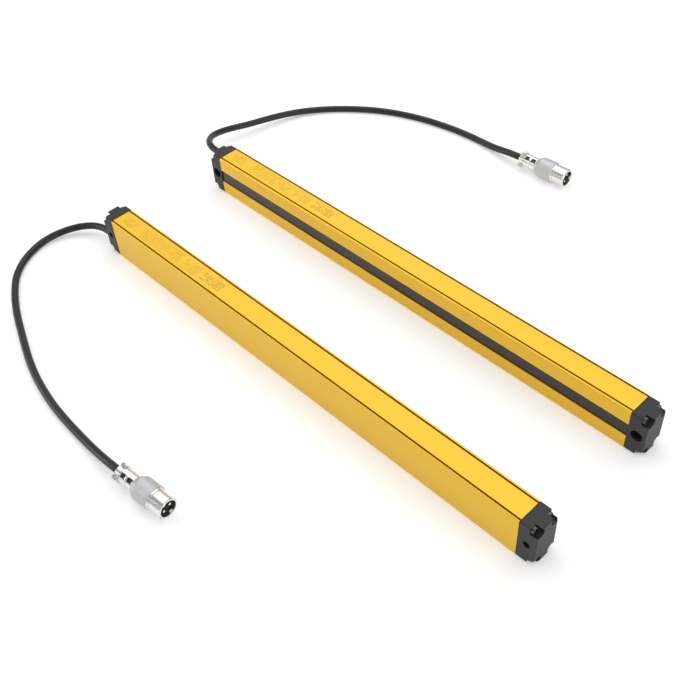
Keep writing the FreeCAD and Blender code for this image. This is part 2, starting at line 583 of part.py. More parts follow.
def make_cap(label, end):
    """Moulded end cap, drawn for the +X end with its joint face at x = 0.

    A flange with the profile's full outline carries a block whose corners are scooped out, open
    to the outside, for the four screws. An M5 hole crosses the cap, counterbored on the window side. A tongue on
    the inner side locates the cap in the profile. The cap of the cable end is the same moulding
    turned half a turn about Y, with a bore for the cable.
    """
    body = new_body(label)
    outline = new_sketch(body, "Outline", "YZ_Plane")
    add_rectangle(outline, f"-{HALF_WIDTH}", f"-{HALF_HEIGHT}", HALF_WIDTH, HALF_HEIGHT)
    block = pad(body, "Block", outline, "Sizes.cap_length")
    rounded = dress(body, "LongEdges", "Fillet", block, runs_along_x, "Sizes.bar_corner")

    face = size("cap_length")
    dress(body, "EndFaceEdge", "Chamfer", rounded, lambda edge: lies_at(edge, "X", face), "Sizes.cap_chamfer")
    scoops = new_sketch(body, "ScrewPockets", "YZ_Plane", "Sizes.cap_flange")
    for y_side, z_side in CORNERS:
        add_circle(scoops, f"{y_side} * {PORT_Y}", f"{z_side} * {PORT_Z}", "Sizes.cap_pocket")
    pocket(body, "ScrewPocketCut", scoops, "Sizes.cap_length - Sizes.cap_flange")
    corners = new_sketch(body, "CornerCuts", "YZ_Plane", "Sizes.cap_flange")
    for y_side, z_side in CORNERS:
        near_y, near_z = f"{y_side} * {PORT_Y}", f"{z_side} * {PORT_Z}"
        add_rectangle(
            corners, near_y, near_z, f"{y_side} * Sizes.bar_width", f"{z_side} * Sizes.bar_height"
        )
    pocket(body, "CornerCut", corners, "Sizes.cap_length - Sizes.cap_flange")

    tongue = new_sketch(body, "TongueOutline", "YZ_Plane")
    tongue_front = f"({HALF_WIDTH} - Sizes.gasket_rim - Sizes.slide_fit)"
    add_rectangle(
        tongue, f"-{tongue_front}", "-Sizes.tongue_height / 2",
        f"Sizes.tongue_thick - {tongue_front}", "Sizes.tongue_height / 2",
    )
    pad(body, "Tongue", tongue, "Sizes.tongue_length", reverse=True)

    # The XZ plane's normal points towards -Y, so the window side is at a negative offset.
    through = new_sketch(body, "MountHole", "XZ_Plane", f"-{HALF_WIDTH}")
    add_circle(through, "Sizes.mount_offset", "0", "Sizes.mount_hole")
    pocket(body, "MountHoleCut", through, "Sizes.bar_width")
    sunk = new_sketch(body, "MountHead", "XZ_Plane", f"-{HALF_WIDTH}")
    add_circle(sunk, "Sizes.mount_offset", "0", "Sizes.mount_head")
    pocket(body, "MountHeadCut", sunk, "Sizes.mount_head_depth")

    holes = new_sketch(body, "ScrewHoles", "YZ_Plane")
    for y_side, z_side in CORNERS:
        add_circle(holes, f"{y_side} * {PORT_Y}", f"{z_side} * {PORT_Z}", "Sizes.screw_clear")
    pocket(body, "ScrewHoleCut", holes, "Sizes.cap_length")

    joint = size("bar_length") / 2 + size("gasket_thick")
    turn = FreeCAD.Rotation()
    if end < 0:
        cable = new_sketch(body, "CableBore", "YZ_Plane", "-Sizes.tongue_length")
        add_circle(cable, "-Sizes.cable_back", "Sizes.cable_drop", CABLE_BORE)
        pocket(body, "CableBoreCut", cable, "Sizes.cap_length + Sizes.tongue_length")
        turn = FreeCAD.Rotation(FreeCAD.Vector(0, 1, 0), 180)
    body.Placement = FreeCAD.Placement(FreeCAD.Vector(end * joint, 0, 0), turn)
    return body


def make_screws(label):
    """The eight self-tapping screws of both caps: pan heads with a cross recess."""
    body = new_body(label)
    floor = f"({HALF_LENGTH} + Sizes.gasket_thick + Sizes.cap_flange)"
    top = f"({floor} + Sizes.screw_head_high)"
    tip = f"({HALF_LENGTH} - Sizes.screw_reach)"
    cross_floor = f"({top} - Sizes.screw_slot_deep)"
    for end, name in ((1, "Blind"), (-1, "Cable")):
        inwards = end < 0
        shanks = new_sketch(body, f"{name}Shanks", "YZ_Plane", f"{end} * {tip}")
        heads = new_sketch(body, f"{name}Heads", "YZ_Plane", f"{end} * {floor}")
        crosses = new_sketch(body, f"{name}Crosses", "YZ_Plane", f"{end} * {cross_floor}")
        for y_side, z_side in CORNERS:
            y, z = f"{y_side} * {PORT_Y}", f"{z_side} * {PORT_Z}"
            add_circle(shanks, y, z, "Sizes.port_bore")
            add_circle(heads, y, z, "Sizes.screw_head")
            add_outline(crosses, cross_points(y, z, "Sizes.screw_slot_long / 2", "Sizes.screw_slot / 2"))
        pad(body, f"{name}ShankPad", shanks, f"{floor} - {tip}", inwards)
        pad(body, f"{name}HeadPad", heads, "Sizes.screw_head_high", inwards)
        pocket(body, f"{name}CrossCut", crosses, "Sizes.screw_slot_deep", not inwards)
    return body


def cross_points(y, z, arm, half_slot):
    """Corners of an upright cross about (y, z), going round once."""
    quarter = [(1, -1, arm, half_slot), (1, 1, arm, half_slot), (1, 1, half_slot, half_slot)]
    points = []
    for turn in range(4):
        for a, b, across, along in quarter:
            # Each quarter turn maps (p, q) to (-q, p).
            p, q = (a, across), (b, along)
            for _ in range(turn):
                p, q = (-q[0], q[1]), p
            points.append((f"{y} + {p[0]} * {p[1]}", f"{z} + {q[0]} * {q[1]}"))
    return points


# ---------------------------------------------------------------- the plug's pieces

# Places along the plug, from the cable entry towards the mating face.
INSERT_FRONT = "(Sizes.plug_length - Sizes.insert_face)"
INSERT_BACK = f"({INSERT_FRONT} - Sizes.insert_long)"


def make_clamp(label):
    """The two halves that grip the cable, each half a ring with a flat for the screw heads."""
    body = new_body(label)
    rounds = new_sketch(body, "Rounds", "YZ_Plane")
    add_circle(rounds, "0", "0", "Sizes.clamp_round")
    pad(body, "Ring", rounds, "Sizes.clamp_length")
    ears = new_sketch(body, "Ears", "YZ_Plane")
    half_flat = "Sizes.clamp_flat / 2"
    add_rectangle(ears, "-Sizes.clamp_width / 2", f"-{half_flat}", "Sizes.clamp_width / 2", half_flat)
    pad(body, "EarPad", ears, "Sizes.clamp_length")
    flats = new_sketch(body, "Flats", "YZ_Plane")
    beside_head = "(Sizes.clamp_pitch / 2 - Sizes.clamp_head / 2 - Sizes.slide_fit)"
    for side in (1, -1):
        inner, outer = f"{side} * {half_flat}", f"{side} * Sizes.clamp_round"
        for across in (1, -1):
            near, far = f"{across} * {beside_head}", f"{across} * Sizes.clamp_width"
            add_rectangle(flats, near, inner, far, outer)
    pocket(body, "FlatCut", flats, "Sizes.clamp_length")
    split = new_sketch(body, "Split", "YZ_Plane")
    gap = "Sizes.clamp_split / 2"
    add_rectangle(split, "-Sizes.clamp_width", f"-{gap}", "Sizes.clamp_width", gap)
    pocket(body, "SplitCut", split, "Sizes.clamp_length")
    bore = new_sketch(body, "CableBore", "YZ_Plane")
    add_circle(bore, "0", "0", "Sizes.cable_size")
    pocket(body, "CableBoreCut", bore, "Sizes.clamp_length")
    holes = new_sketch(body, "ScrewHoles", "XY_Plane", "-Sizes.clamp_width")
    for side in (1, -1):
        across = f"{side} * Sizes.clamp_pitch / 2"
        add_circle(holes, "Sizes.clamp_length / 2", across, "Sizes.clamp_screw")
    pocket(body, "ScrewHoleCut", holes, "2 * Sizes.clamp_width")
    return body


def make_clamp_screws(label):
    """Two screws that draw the clamp's halves together."""
    body = new_body(label)
    shanks = new_sketch(body, "Shanks", "XY_Plane", "-Sizes.clamp_flat / 2")
    heads = new_sketch(body, "Heads", "XY_Plane", "Sizes.clamp_flat / 2")
    for side in (1, -1):
        across = f"{side} * Sizes.clamp_pitch / 2"
        add_circle(shanks, "Sizes.clamp_length / 2", across, "Sizes.clamp_screw")
        add_circle(heads, "Sizes.clamp_length / 2", across, "Sizes.clamp_head")
    pad(body, "ShankPad", shanks, "Sizes.clamp_flat")
    pad(body, "HeadPad", heads, "Sizes.clamp_head_high")
    return body


def make_sleeve(label):
    """Rear sleeve: a tube with a raised ring and two windows each side of it."""
    body = new_body(label)
    section = new_sketch(body, "Section", "XY_Plane")
    outer, bore, ring = "Sizes.sleeve_size / 2", "Sizes.sleeve_bore / 2", "Sizes.sleeve_ring / 2"
    middle = "((Sizes.clamp_length + Sizes.barrel_start) / 2)"
    half_ring = "Sizes.sleeve_ring_long / 2"
    add_outline(section, [
        ("Sizes.clamp_length", bore), ("Sizes.sleeve_end", bore), ("Sizes.sleeve_end", outer),
        (f"{middle} + {half_ring}", outer), (f"{middle} + {half_ring}", ring),
        (f"{middle} - {half_ring}", ring), (f"{middle} - {half_ring}", outer),
        ("Sizes.clamp_length", outer),
    ])
    revolve(body, "Tube", section)
    slots = new_sketch(body, "Windows", "XZ_Plane", "-Sizes.sleeve_size")
    half = "Sizes.sleeve_slot / 2"
    margin = "Sizes.sleeve_margin"
    stretches = [
        (f"Sizes.clamp_length + {margin}", f"{middle} - {half_ring} - {margin} / 2"),
        (f"{middle} + {half_ring} + {margin} / 2", f"Sizes.barrel_start - {margin}"),
    ]
    for near, far in stretches:
        add_rectangle(slots, near, f"-{half}", far, half)
    pocket(body, "WindowCut", slots, "2 * Sizes.sleeve_size")
    return body


def make_barrel(label):
    """Grip barrel with a conical shoulder, bored for the sleeve and for the nose shell."""
    body = new_body(label)
    section = new_sketch(body, "Section", "XY_Plane")
    outer, edge = "Sizes.barrel_size / 2", "Sizes.barrel_edge"
    add_outline(section, [
        ("Sizes.barrel_start", "Sizes.sleeve_size / 2"), ("Sizes.nose_start", "Sizes.sleeve_size / 2"),
        ("Sizes.nose_start", "Sizes.nose_size / 2"), ("Sizes.barrel_end", "Sizes.nose_size / 2"),
        ("Sizes.barrel_end", f"{outer} - {edge}"), (f"Sizes.barrel_end - {edge}", outer),
        ("Sizes.barrel_start + Sizes.barrel_cone", outer), ("Sizes.barrel_start", "Sizes.barrel_neck / 2"),
    ])
    revolve(body, "Turned", section)
    return body


def make_nose(label):
    """Nose shell: a tube with a root ring, two outside keyways and two keys in its mouth."""
    body = new_body(label)
    section = new_sketch(body, "Section", "XY_Plane")
    outer, bore, edge = "Sizes.nose_size / 2", "Sizes.nose_bore / 2", "Sizes.nose_edge"
    ring_end = "Sizes.barrel_end + Sizes.nose_ring_long"
    add_outline(section, [
        ("Sizes.nose_start", bore), ("Sizes.plug_length", bore),
        ("Sizes.plug_length", f"{outer} - {edge}"), (f"Sizes.plug_length - {edge}", outer),
        (ring_end, outer), (ring_end, "Sizes.nose_ring / 2"),
        ("Sizes.barrel_end", "Sizes.nose_ring / 2"), ("Sizes.barrel_end", outer),
        ("Sizes.nose_start", outer),
    ])
    revolve(body, "Tube", section)
    keyways = new_sketch(body, "Keyways", "YZ_Plane", "Sizes.plug_length - Sizes.nose_slot_long")
    for side in (1, -1):
        add_rectangle(
            keyways, f"{side} * ({outer} - Sizes.nose_slot_deep)", "-Sizes.nose_slot / 2",
            f"{side} * Sizes.nose_size", "Sizes.nose_slot / 2",
        )
    pocket(body, "KeywayCut", keyways, "Sizes.nose_slot_long")
    keys = new_sketch(body, "Keys", "YZ_Plane", INSERT_FRONT)
    for side in (1, -1):
        add_rectangle(
            keys, "-Sizes.key_width / 2", f"{side} * ({bore} - Sizes.key_high)",
            "Sizes.key_width / 2", f"{side} * ({bore} + {edge})",
        )
    pad(body, "KeyPad", keys, "Sizes.insert_face - Sizes.key_setback")
    return body


def make_insert(label):
    """Black insulator in the nose, bored for the pins."""
    body = new_body(label)
    disc = new_sketch(body, "Disc", "YZ_Plane", INSERT_BACK)
    add_circle(disc, "0", "0", "Sizes.nose_bore")
    pad(body, "Block", disc, "Sizes.insert_long")
    bores = new_sketch(body, "PinBores", "YZ_Plane", INSERT_BACK)
    for side in (1, -1):
        add_circle(bores, f"{side} * Sizes.pin_pitch / 2", "0", "Sizes.pin_size")
    pocket(body, "PinBoreCut", bores, "Sizes.insert_long")
    return body


def make_pins(label):
    """Two contact pins through the insulator."""
    body = new_body(label)
    rods = new_sketch(body, "Rods", "YZ_Plane", f"{INSERT_BACK} - Sizes.pin_tail")
    for side in (1, -1):
        add_circle(rods, f"{side} * Sizes.pin_pitch / 2", "0", "Sizes.pin_size")
    length = "Sizes.pin_tail + Sizes.insert_long + Sizes.insert_face - Sizes.pin_setback"
    pad(body, "Pins", rods, length)
    return body


def make_plug_sheath(label):
    """The cable's own end inside the plug, through the clamp into the sleeve."""
    body = new_body(label)
    end = new_sketch(body, "End", "YZ_Plane")
    add_circle(end, "0", "0", "Sizes.cable_size")
    pad(body, "Sheath", end, "Sizes.plug_sheath")
    return body


def make_plug_wires(label):
    """Two wires from the sheath's end to the pins."""
    body = new_body(label)
    ends = new_sketch(body, "Ends", "YZ_Plane", "Sizes.plug_sheath")
    for side in (1, -1):
        across = f"{side} * (Sizes.cable_size - Sizes.wire_size) / 2"
        add_circle(ends, across, "0", "Sizes.wire_size")
    pad(body, "Wires", ends, f"{INSERT_BACK} - Sizes.pin_tail - Sizes.plug_sheath")
    return body


# ---------------------------------------------------------------- the cables

def make_cable(label, route):
    """Cable as a round tube along straight runs joined by tangent arcs.

    Each arc's tangent length is 0.45 of the shorter run beside its point, so its radius is that
    length divided by the tangent of half the turn.
    """
    points = [FreeCAD.Vector(*point) for point in route]
    edges = []
    radii = []
    here = points[0]
    for before, corner, after in zip(points, points[1:], points[2:]):
        run_in, run_out = corner - before, after - corner
        tangent = 0.45 * min(run_in.Length, run_out.Length)
        half_turn = run_in.getAngle(run_out) / 2
        radii.append(tangent / math.tan(half_turn))
        start = corner - run_in.normalize() * tangent
        end = corner + run_out.normalize() * tangent
        inward = (run_out - run_in).normalize()
        middle = corner + inward * (radii[-1] / math.cos(half_turn) - radii[-1])
        edges.append(Part.LineSegment(here, start).toShape())
        edges.append(Part.Arc(start, middle, end).toShape())
        here = end
    edges.append(Part.LineSegment(here, points[-1]).toShape())
    path = Part.Wire(edges)
    radius = size("cable_size") / 2
    first = points[1] - points[0]
    ring = Part.Wire([Part.makeCircle(radius, points[0], first)])
    node = doc.addObject("Part::Feature", label)
    node.Shape = path.makePipeShell([ring], True, False)
    node.Label = label
    NODES.append(node)
    expected = math.pi * radius ** 2 * path.Length
    print(
        f"{label}: length {path.Length:.1f}, radii " + " ".join(f"{r:.0f}" for r in radii)
        + f", volume ratio {node.Shape.Volume / expected:.5f}"
    )
    return node


# ---------------------------------------------------------------- the pair

def place(pieces, placement):
    """Carry pieces, modelled in a bar's or a plug's frame, into the row frame."""
    for piece in pieces:
        piece.Placement = placement.multiply(piece.Placement)


def make_bar(side, optics, placement):
    """One bar of the pair with all that is in it."""
    place([
        make_profile(f"{side}_profile"),
        make_window(f"{side}_window"),
        make_window_seals(f"{side}_window_seals"),
        make_lens_holder(f"{side}_lens_holder"),
        make_lenses(f"{side}_lenses"),
        make_board(f"{side}_circuit_board"),
        make_optics(f"{side}_{optics}"),
        make_chips(f"{side}_control_chips"),
        make_header(f"{side}_wire_header"),
        make_wires(f"{side}_inner_wires"),
        make_cable_entry(f"{side}_cable_entry"),
        make_grommet(f"{side}_grommet"),
        make_gasket(f"{side}_blind_gasket", 1),
        make_gasket(f"{side}_cable_gasket", -1),
        make_cap(f"{side}_blind_cap", 1),
        make_cap(f"{side}_cable_cap", -1),
        make_screws(f"{side}_cap_screws"),
    ], placement)


def make_plug(side, route, heading, roll):
    """The plug at the far end of a cable, lying on the surface."""
    about_axis = FreeCAD.Rotation(FreeCAD.Vector(1, 0, 0), roll)
    turned = FreeCAD.Rotation(FreeCAD.Vector(0, 0, 1), heading)
    place([
        make_clamp(f"{side}_plug_clamp"),
        make_clamp_screws(f"{side}_plug_clamp_screws"),
        make_sleeve(f"{side}_plug_sleeve"),
        make_barrel(f"{side}_plug_barrel"),
        make_nose(f"{side}_plug_nose"),
        make_insert(f"{side}_plug_insulator"),
        make_pins(f"{side}_plug_pins"),
        make_plug_sheath(f"{side}_plug_sheath"),
        make_plug_wires(f"{side}_plug_wires"),
    ], FreeCAD.Placement(FreeCAD.Vector(*route[-1]), turned.multiply(about_axis)))


def check_and_write():
    """Stop on any failed object, then write each node's shape to its own STEP file."""
    doc.recompute()
    for item in doc.Objects:
        if "Invalid" in item.State or "Error" in item.State:
            raise ValueError(f"{item.Label} did not compute: {item.State}")
    os.makedirs("parts", exist_ok=True)
    for node in NODES:
        if node.Shape.isNull() or not node.Shape.isValid() or not node.Shape.Solids:
            raise ValueError(f"{node.Label} has no valid solid")
        node.Shape.exportStep(f"parts/{node.Label}.step")


bar_y = (size("field_width") + size("bar_width")) / 2
bar_z = size("bar_height") / 2
upright = FreeCAD.Rotation()
half_turn = FreeCAD.Rotation(FreeCAD.Vector(1, 0, 0), 180)
make_bar("emitter", "leds", FreeCAD.Placement(FreeCAD.Vector(0, -bar_y, bar_z), upright))
make_bar("receiver", "photodiodes", FreeCAD.Placement(FreeCAD.Vector(0, bar_y, bar_z), half_turn))
make_cable("emitter_cable", EMITTER_ROUTE)
make_cable("receiver_cable", RECEIVER_ROUTE)
make_plug("emitter", EMITTER_ROUTE, size("emitter_heading"), size("emitter_roll"))
make_plug("receiver", RECEIVER_ROUTE, size("receiver_heading"), size("receiver_roll"))
check_and_write()
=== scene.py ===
"""Safety light curtain: the looks of an emitter bar and a receiver bar, each with cable and plug.

The frame holds every node at its true place, in metres, +X along the bars away from the cables,
+Y from the emitter to the receiver and +Z up. The camera, the plug sleeves and the cables come
first, then each group of pieces, then the stage.
"""
import math

import bpy
import numpy as np
from bpy.props import FloatProperty, FloatVectorProperty, PointerProperty
from mathutils import Matrix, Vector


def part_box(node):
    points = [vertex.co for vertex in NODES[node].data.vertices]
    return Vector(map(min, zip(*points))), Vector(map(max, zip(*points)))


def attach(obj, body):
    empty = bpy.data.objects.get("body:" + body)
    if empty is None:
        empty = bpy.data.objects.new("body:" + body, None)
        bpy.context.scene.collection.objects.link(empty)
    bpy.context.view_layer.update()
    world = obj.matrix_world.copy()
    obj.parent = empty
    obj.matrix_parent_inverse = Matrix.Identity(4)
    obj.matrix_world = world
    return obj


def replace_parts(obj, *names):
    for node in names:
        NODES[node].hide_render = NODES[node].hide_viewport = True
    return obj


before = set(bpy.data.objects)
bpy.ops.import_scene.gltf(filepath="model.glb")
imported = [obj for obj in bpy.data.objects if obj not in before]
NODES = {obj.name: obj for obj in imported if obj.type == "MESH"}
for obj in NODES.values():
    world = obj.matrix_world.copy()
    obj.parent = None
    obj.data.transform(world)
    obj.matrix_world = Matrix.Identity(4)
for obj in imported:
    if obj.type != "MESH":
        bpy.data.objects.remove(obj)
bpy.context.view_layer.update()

bl_info = {
    "name": "Safety light curtain",
    "version": (1, 0, 0),
    "blender": (4, 5, 0),
    "location": "View3D > Sidebar > Light curtain",
    "description": "Builds the finished look of a pair of light curtain bars in their frame",
    "category": "Object",
}

SIDES = ("emitter", "receiver")
MM = 0.001

# Routes of the two cables in metres, from the grommet's tip to the plug's clamp.
ROUTES = {
    "emitter": [
        (-0.2305, -0.0626, 0.01085), (-0.2395, -0.0626, 0.01085), (-0.2510, -0.0653, 0.0094),
        (-0.2626, -0.0728, 0.0070), (-0.2711, -0.0854, 0.0050), (-0.2748, -0.1015, 0.0037),
        (-0.2725, -0.1155, 0.0030), (-0.2660, -0.1300, 0.0030), (-0.2565, -0.1423, 0.0030),
        (-0.2453, -0.1518, 0.0030), (-0.2215, -0.1660, 0.0030), (-0.1900, -0.1793, 0.0030),
        (-0.1510, -0.1945, 0.0030), (-0.1140, -0.2025, 0.0030), (-0.0870, -0.2049, 0.0030),
        (-0.0680, -0.2056, 0.0030), (-0.0500, -0.2063, 0.0043), (-0.02823, -0.20712, 0.0092),
        (-0.01628, -0.20607, 0.0092),
    ],
    "receiver": [
        (-0.2305, 0.0626, 0.02565), (-0.2402, 0.0626, 0.02565), (-0.2499, 0.0652, 0.0245),
        (-0.2603, 0.0713, 0.0220), (-0.2703, 0.0838, 0.0174), (-0.2739, 0.1034, 0.0118),
        (-0.2675, 0.1240, 0.0095), (-0.2635, 0.1450, 0.0072), (-0.2560, 0.1695, 0.0049),
        (-0.2430, 0.1925, 0.0030), (-0.2195, 0.2147, 0.0030), (-0.1910, 0.2338, 0.0030),
        (-0.1570, 0.2470, 0.0030), (-0.1250, 0.2533, 0.0030), (-0.1050, 0.2552, 0.0030),
        (-0.0880, 0.2557, 0.0030), (-0.0705, 0.2543, 0.0043), (-0.04979, 0.25237, 0.0092),
        (-0.0378, 0.25281, 0.0092),
    ],
}
# Heading of each plug from +X towards +Y, in degrees.
PLUG_HEADING = {"emitter": 5.0, "receiver": 2.1}

# Etched rows on the top faces, in mm: pitch across the bar, number of the middle row from the
# frame's middle plane, and height above which a face counts as a top face.
ROW_PITCH, MIDDLE_ROW, TOP_LEVEL = 1.7, 34.5, 36.4
# Middle and half length along X in mm, half the number of rows, and strength of each field.
ROW_FIELDS = [
    (-198.5, 7.5, 2.5, 0.5), (-156.5, 25.5, 3.5, 0.42), (-117.5, 9.5, 3.5, 0.42),
    (-92.5, 11.5, 2.5, 0.75),
]


# ---------------------------------------------------------------- colours and materials

def srgb(code):
    """Linear colour with full alpha of an sRGB hex value."""
    parts = np.array([int(code[i:i + 2], 16) for i in (1, 3, 5)]) / 255
    linear = np.where(parts <= 0.04045, parts / 12.92, ((parts + 0.055) / 1.055) ** 2.4)
    return (*linear.tolist(), 1.0)


def scaled(colour, factor):
    """Colour made lighter or darker by a factor."""
    return (colour[0] * factor, colour[1] * factor, colour[2] * factor, 1.0)


def add(tree, kind, links=None, **settings):
    """Add one node: settings set its attributes, links gives its inputs a value or an output."""
    node = tree.nodes.new(kind)
    for name, value in settings.items():
        setattr(node, name, value)
    for name, value in (links or {}).items():
        if isinstance(value, bpy.types.NodeSocket):
            tree.links.new(value, node.inputs[name])
        else:
            node.inputs[name].default_value = value
    return node


def start_material(name, **constants):
    """New material with its tree, its shader (plain sockets set) and its object coordinates."""
    material = bpy.data.materials.new(name)
    material.use_nodes = True
    tree = material.node_tree
    shader = tree.nodes["Principled BSDF"]
    for socket, value in constants.items():
        shader.inputs[socket.replace("_", " ")].default_value = value
    place = add(tree, "ShaderNodeTexCoord").outputs["Object"]
    return material, tree, shader, place


def etched_rows(tree, place):
    """How strongly a point of the top faces is etched: broken rows of short plain dashes.

    Rows lie one pitch apart across the bar, and each fills about half its pitch. A noise along
    the bar, with a grain of 1.6 mm and shifted from row to row, breaks each row into dashes a few
    millimetres long. The dashes show only in the fields near the cable end, and only on the
    upper faces of the bars. Real print is finer: it is drawn as coarse as it needs to show.
    """
    split = add(tree, "ShaderNodeSeparateXYZ", {"Vector": place})

    def maths(operation, *values):
        links = dict(enumerate(values))
        return add(tree, "ShaderNodeMath", links, operation=operation).outputs[0]

    across = maths("ABSOLUTE", split.outputs["Y"])
    rows = maths("DIVIDE", across, ROW_PITCH * MM)
    in_row = maths("COMPARE", maths("FRACT", rows), 0.5, 0.27)
    shift = maths("MULTIPLY", maths("FLOOR", rows), 17.3)
    along = add(tree, "ShaderNodeCombineXYZ", {
        "X": maths("MULTIPLY", split.outputs["X"], 620.0), "Y": shift,
    })
    noise = add(tree, "ShaderNodeTexNoise", {
        "Vector": along.outputs[0], "Scale": 1.0, "Detail": 2.0,
    })
    dash = maths("MULTIPLY", in_row, maths("GREATER_THAN", noise.outputs["Fac"], 0.47))
    strength = 0.0
    for x, half_x, half_rows, share in ROW_FIELDS:
        inside_x = maths("COMPARE", split.outputs["X"], x * MM, half_x * MM)
        inside_y = maths("COMPARE", rows, MIDDLE_ROW, half_rows)
        field = maths("MULTIPLY", maths("MULTIPLY", inside_x, inside_y), share)
        strength = maths("MAXIMUM", strength, field)
    upper = maths("GREATER_THAN", split.outputs["Z"], TOP_LEVEL * MM)
    return maths("MULTIPLY", maths("MULTIPLY", dash, strength), upper)


def satin_yellow_anodised(colour):
    """Anodised aluminium, bead blasted and dyed yellow: a soft even sheen with faint die lines.

    The lines run along the extrusion, 0.4 mm apart and about 150 mm long, and the blasted grit is
    0.24 mm. Rows of dashes are etched through the dye near the cable end, where they show brown.
    """
    material, tree, shader, place = start_material(
        "anodised aluminium, satin yellow", Metallic=0.22, Roughness=0.42, IOR=1.5
    )
    lines = add(tree, "ShaderNodeMapping", {"Vector": place, "Scale": (6.5, 2500, 2500)})
    streak = add(tree, "ShaderNodeTexNoise", {
        "Vector": lines.outputs[0], "Scale": 1.0, "Detail": 3.0,
    })
    grit = add(tree, "ShaderNodeTexNoise", {"Vector": place, "Scale": 4200.0, "Detail": 2.0})
    cloud = add(tree, "ShaderNodeTexNoise", {"Vector": place, "Scale": 9.0, "Detail": 2.0})
    tint = add(tree, "ShaderNodeMixRGB", {
        "Fac": cloud.outputs["Fac"], "Color1": scaled(colour, 0.96),
        "Color2": scaled(colour, 1.04),
    })
    lined = add(tree, "ShaderNodeMixRGB", {
        "Fac": streak.outputs["Fac"], "Color1": tint.outputs[0], "Color2": scaled(colour, 0.985),
    })
    etched = add(tree, "ShaderNodeMixRGB", {
        "Fac": etched_rows(tree, place), "Color1": lined.outputs[0], "Color2": srgb("#A8702C"),
    })
    rough = add(tree, "ShaderNodeMapRange", {
        "Value": streak.outputs["Fac"], "To Min": 0.36, "To Max": 0.47,
    })
    blasted = add(tree, "ShaderNodeBump", {
        "Height": grit.outputs["Fac"], "Strength": 0.06, "Distance": 0.1 * MM,
    })
    drawn = add(tree, "ShaderNodeBump", {
        "Height": streak.outputs["Fac"], "Strength": 0.05, "Distance": 0.2 * MM,
        "Normal": blasted.outputs[0],
    })
    tree.links.new(etched.outputs[0], shader.inputs["Base Color"])
    tree.links.new(rough.outputs[0], shader.inputs["Roughness"])
    tree.links.new(drawn.outputs[0], shader.inputs["Normal"])
    return material


def painted_groove_shade():
    """Anodised aluminium in grooves and under lips: dark brown, a painted shade of those hollows.

    The painted brown varies in clouds about 4 mm wide.
    """
    material, tree, shader, place = start_material(
        "anodised aluminium, painted groove shade", Roughness=0.7, Specular_IOR_Level=0.1
    )
    shade_clouds = add(tree, "ShaderNodeTexNoise", {"Vector": place, "Scale": 250.0, "Detail": 3.0})
    tint = add(tree, "ShaderNodeMixRGB", {
        "Fac": shade_clouds.outputs["Fac"], "Color1": srgb("#854C00"), "Color2": srgb("#A86C00"),
    })
    tree.links.new(tint.outputs[0], shader.inputs["Base Color"])
    return material


def grained(name, colour, grain_mm, depth, low, high, edge_mm=0.0, **constants):
    """Moulded or drawn surface: a grain of the given size, a little uneven in colour and gloss.

    low and high are the roughness range. edge_mm rounds hard edges in the shading by that radius.
    """
    material, tree, shader, place = start_material(name, **constants)
    grain = add(tree, "ShaderNodeTexNoise", {
        "Vector": place, "Scale": 1 / (grain_mm * MM), "Detail": 4.0, "Roughness": 0.6,
    })
    cloud = add(tree, "ShaderNodeTexNoise", {"Vector": place, "Scale": 60.0, "Detail": 3.0})
    tint = add(tree, "ShaderNodeMixRGB", {
        "Fac": cloud.outputs["Fac"], "Color1": scaled(colour, 0.9), "Color2": scaled(colour, 1.1),
    })
    rough = add(tree, "ShaderNodeMapRange", {
        "Value": grain.outputs["Fac"], "To Min": low, "To Max": high,
    })
    bump = add(tree, "ShaderNodeBump", {
        "Height": grain.outputs["Fac"], "Strength": depth, "Distance": 0.15 * MM,
    })
    if edge_mm:
        edge = add(tree, "ShaderNodeBevel", {"Radius": edge_mm * MM}, samples=6)
        tree.links.new(edge.outputs[0], bump.inputs["Normal"])
    tree.links.new(tint.outputs[0], shader.inputs["Base Color"])
    tree.links.new(rough.outputs[0], shader.inputs["Roughness"])
    tree.links.new(bump.outputs[0], shader.inputs["Normal"])
    return material


# ---------------------------------------------------------------- meshes from numpy

def grid_faces(rows, columns, close_rows=False, close_columns=False):
    """Quads of a rows x columns grid of points, row by row; a closed direction wraps round."""
    last_row = rows if close_rows else rows - 1
    last_column = columns if close_columns else columns - 1
    i, j = np.meshgrid(np.arange(last_row), np.arange(last_column), indexing="ij")
    i2, j2 = (i + 1) % rows, (j + 1) % columns
    quads = np.stack([i * columns + j, i2 * columns + j, i2 * columns + j2, i * columns + j2], -1)
    return quads.reshape(-1, 4)


def make_piece(name, points, faces, materials, smooth_below=35.0, which=None):
    """Mesh object at the origin from points in metres; it rides on the root body.

    which gives each face the number of its material in materials.
    """
    mesh = bpy.data.meshes.new(name)
    mesh.from_pydata(points.reshape(-1, 3).tolist(), [], faces)
    for material in materials:
        mesh.materials.append(material)
    if which is not None:
        mesh.polygons.foreach_set("material_index", np.asarray(which, dtype=np.int32))
    mesh.update()
    piece = bpy.data.objects.new(name, mesh)
    bpy.context.scene.collection.objects.link(piece)
    mesh.polygons.foreach_set("use_smooth", np.ones(len(mesh.polygons), dtype=bool))
    mesh.set_sharp_from_angle(angle=math.radians(smooth_below))
    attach(piece, "root")
    return piece


